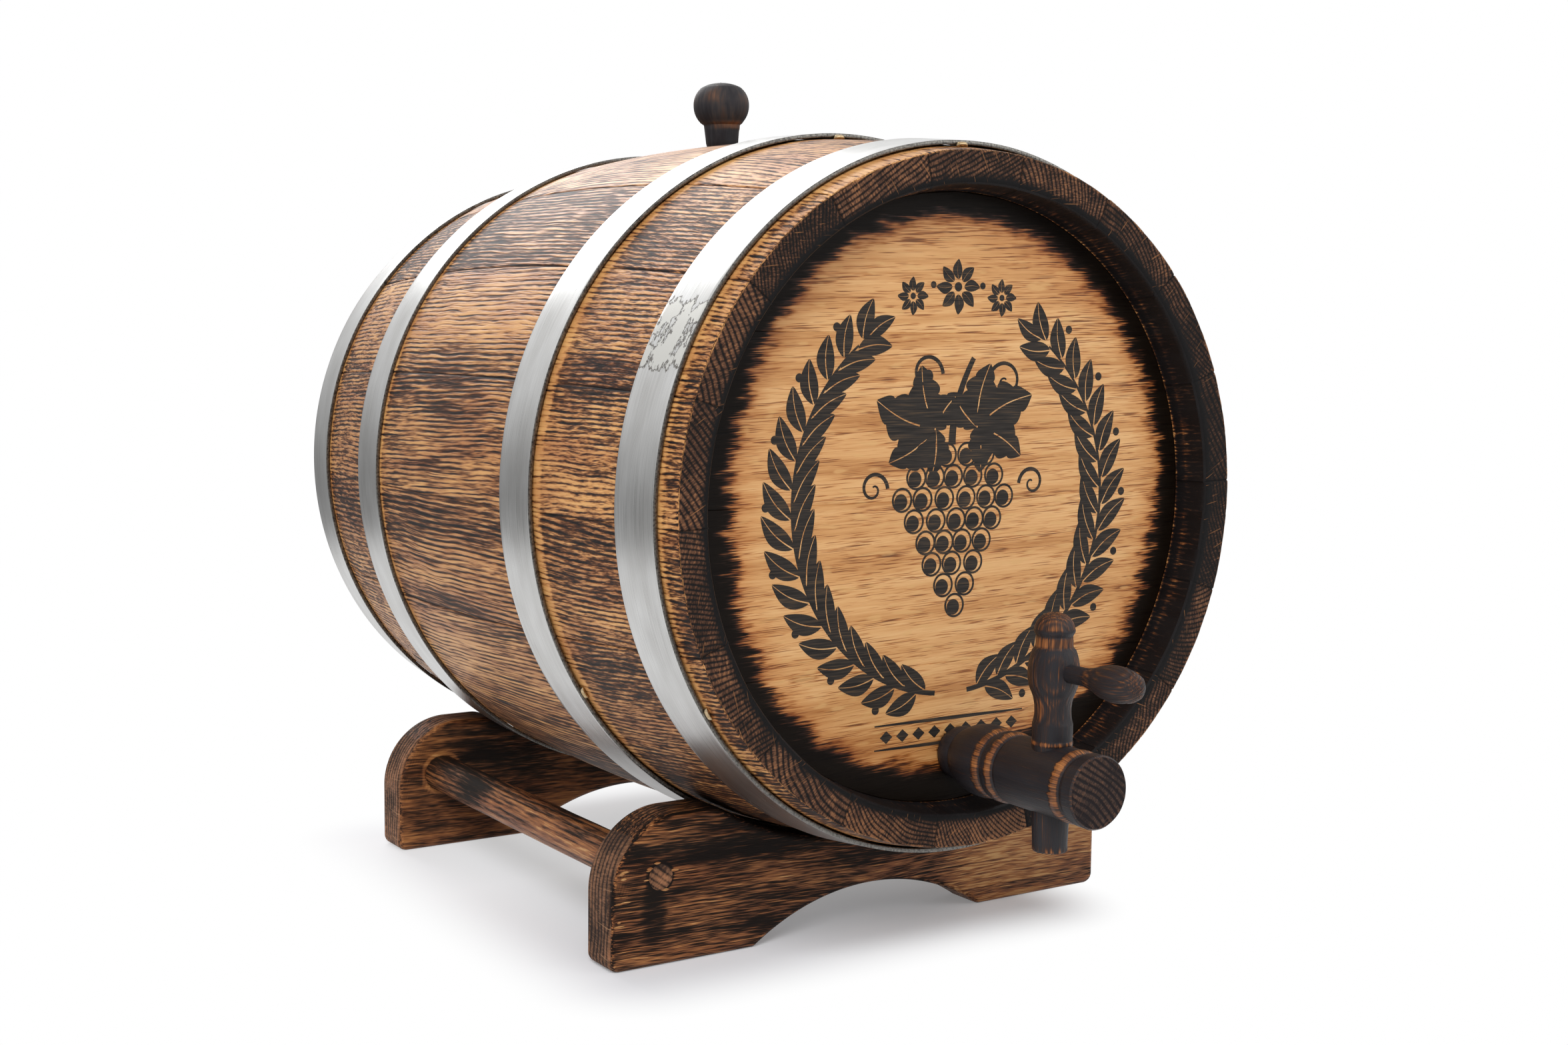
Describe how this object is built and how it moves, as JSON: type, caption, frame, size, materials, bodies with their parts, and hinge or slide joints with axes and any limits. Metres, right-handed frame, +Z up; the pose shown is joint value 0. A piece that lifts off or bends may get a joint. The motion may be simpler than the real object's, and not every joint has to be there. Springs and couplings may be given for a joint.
{
  "type": "oak cask drink dispenser",
  "caption": "Small oak cask lying on a low board cradle, with steel hoops, a bung on top and a turned wooden tap in the front head.",
  "frame": {"origin": "on the floor, under the middle of the bounding box", "axes": "+Z up; +Y along the cask from the tapped front head to the rear head, so the tap faces -Y; +X to the right of someone facing the front head"},
  "size_m": [0.2642, 0.398, 0.3215],
  "materials": {
    "charred_oak_stave": "torched, brushed and waxed",
    "oak_head": "planed and waxed",
    "hoop_steel": "brushed",
    "brass_nail": "dull",
    "turned_dark_wood": "turned, torched and waxed",
    "charred_oak_cradle": "torched, brushed and waxed",
    "oak_rail": "turned and waxed"
  },
  "bodies": {
    "stand": {"front_cradle": "charred_oak_cradle", "rear_cradle": "charred_oak_cradle", "left_rail": "oak_rail", "right_rail": "oak_rail"},
    "cask": {"stave_01": "charred_oak_stave", "stave_02": "charred_oak_stave", "stave_03": "charred_oak_stave", "stave_04": "charred_oak_stave", "stave_05": "charred_oak_stave", "stave_06": "charred_oak_stave", "stave_07": "charred_oak_stave", "stave_08": "charred_oak_stave", "stave_09": "charred_oak_stave", "stave_10": "charred_oak_stave", "stave_11": "charred_oak_stave", "stave_12": "charred_oak_stave", "stave_13": "charred_oak_stave", "stave_14": "charred_oak_stave", "stave_15": "charred_oak_stave", "stave_16": "charred_oak_stave", "stave_17": "charred_oak_stave", "stave_18": "charred_oak_stave", "front_head_1": "oak_head", "front_head_2": "oak_head", "front_head_3": "oak_head", "front_head_4": "oak_head", "rear_head_1": "oak_head", "rear_head_2": "oak_head", "rear_head_3": "oak_head", "rear_head_4": "oak_head", "front_chime_hoop": "hoop_steel", "front_bilge_hoop": "hoop_steel", "rear_bilge_hoop": "hoop_steel", "rear_chime_hoop": "hoop_steel", "hoop_nails": "brass_nail"},
    "bung": {"bung": "turned_dark_wood"},
    "tap": {"tap_body": "turned_dark_wood"},
    "key": {"tap_key": "turned_dark_wood", "tap_handle": "turned_dark_wood"}
  },
  "joints": [
    {"name": "cask_lift", "type": "slide", "parent": "stand", "child": "cask", "axis": [0, 0, 1], "range_m": [0, 0.15]},
    {"name": "bung_pull", "type": "slide", "parent": "cask", "child": "bung", "axis": [-0.0349, 0, 0.9994], "range_m": [0, 0.06]},
    {"name": "tap_pull", "type": "slide", "parent": "cask", "child": "tap", "axis": [0, -1, 0], "range_m": [0, 0.08]},
    {"name": "key_turn", "type": "hinge", "parent": "tap", "child": "key", "pos_m": [0.003, -0.1577, 0.0746], "axis": [0, 0, 1], "continuous": true}
  ]
}
